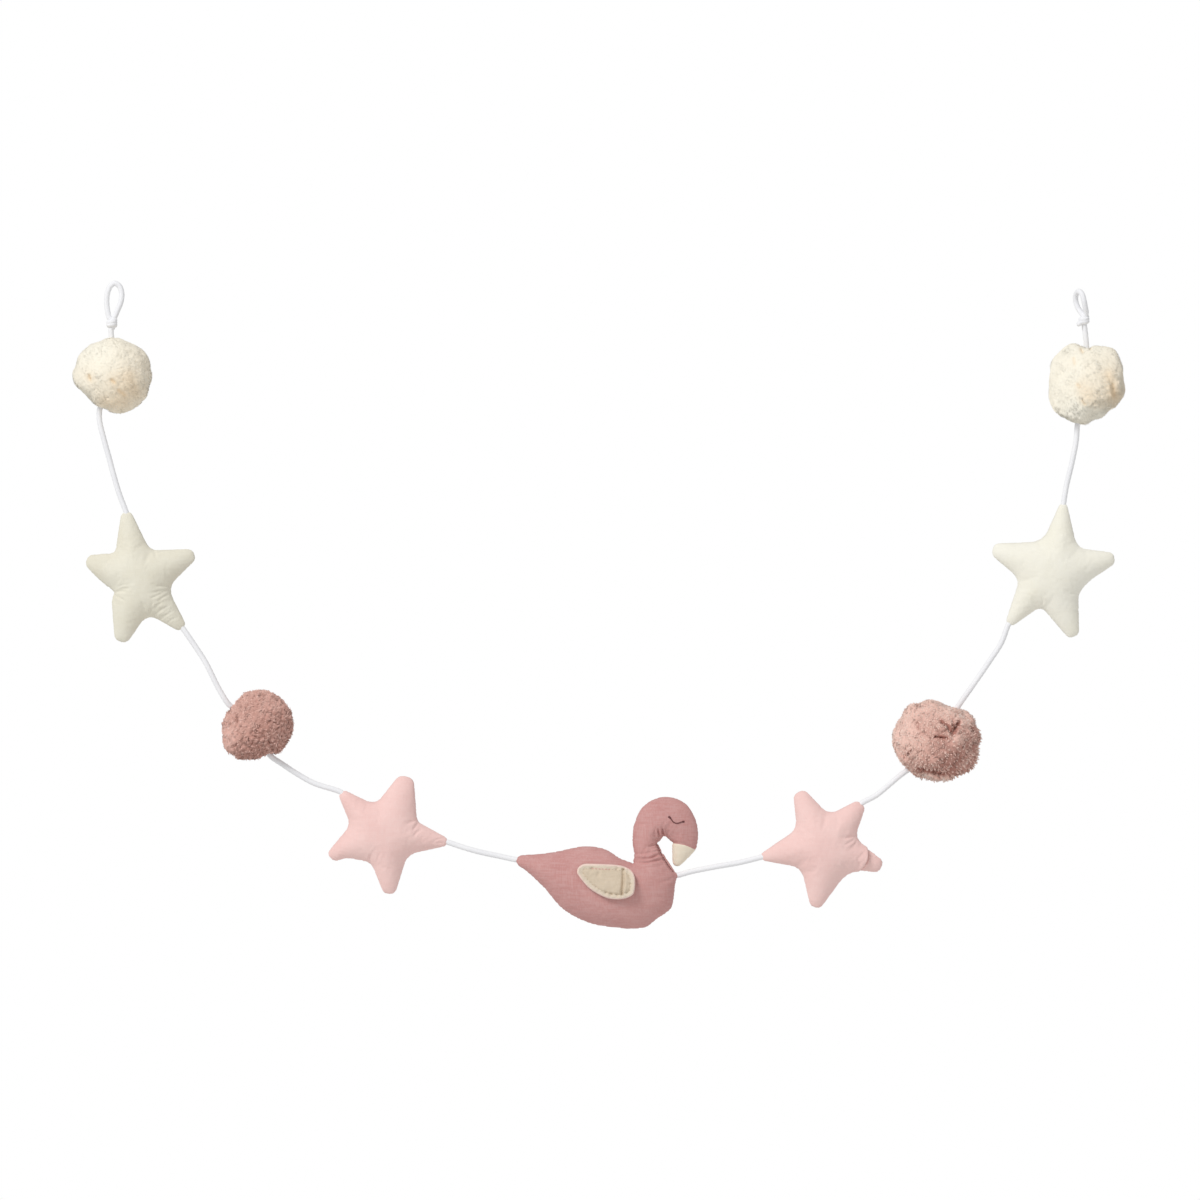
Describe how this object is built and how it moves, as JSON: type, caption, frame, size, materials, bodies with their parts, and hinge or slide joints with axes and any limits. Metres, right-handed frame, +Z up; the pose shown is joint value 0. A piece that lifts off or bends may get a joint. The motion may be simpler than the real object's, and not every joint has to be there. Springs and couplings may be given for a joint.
{
  "type": "muslin garland",
  "caption": "Nursery garland of stuffed muslin stars and a flamingo between yarn pompoms on one cotton cord with a knotted hanging loop at each end.",
  "frame": {"origin": "the spot under the top of the left hanging loop where a hook bears", "axes": "+X along the garland to the right as seen from the front, -Y out of the front, +Z up"},
  "size_m": [0.9111, 0.0721, 0.558],
  "materials": {
    "cream_muslin": "matt crinkled cotton muslin",
    "pink_muslin": "matt crinkled cotton muslin",
    "dusky_muslin": "matt crinkled cotton muslin",
    "beak_muslin": "matt crinkled cotton muslin",
    "wing_muslin": "matt quilted cotton muslin",
    "cream_yarn": "cut acrylic and cotton yarn",
    "rose_yarn": "cut acrylic and cotton yarn",
    "white_cord": "soft white braided cotton"
  },
  "bodies": {
    "root": {"star_cream_left": "cream_muslin", "star_pink_left": "pink_muslin", "star_pink_right": "pink_muslin", "star_cream_right": "cream_muslin", "pompom_cream_left": "cream_yarn", "pompom_rose_left": "rose_yarn", "pompom_rose_right": "rose_yarn", "pompom_cream_right": "cream_yarn", "flamingo_body": "dusky_muslin", "flamingo_beak": "beak_muslin", "flamingo_wing": "wing_muslin", "cord_1": "white_cord", "cord_2": "white_cord", "cord_3": "white_cord", "cord_4": "white_cord", "cord_5": "white_cord", "cord_6": "white_cord", "cord_7": "white_cord", "cord_8": "white_cord", "knot_left": "white_cord", "stem_left": "white_cord", "loop_left": "white_cord", "knot_right": "white_cord", "stem_right": "white_cord", "loop_right": "white_cord"}
  },
  "joints": []
}
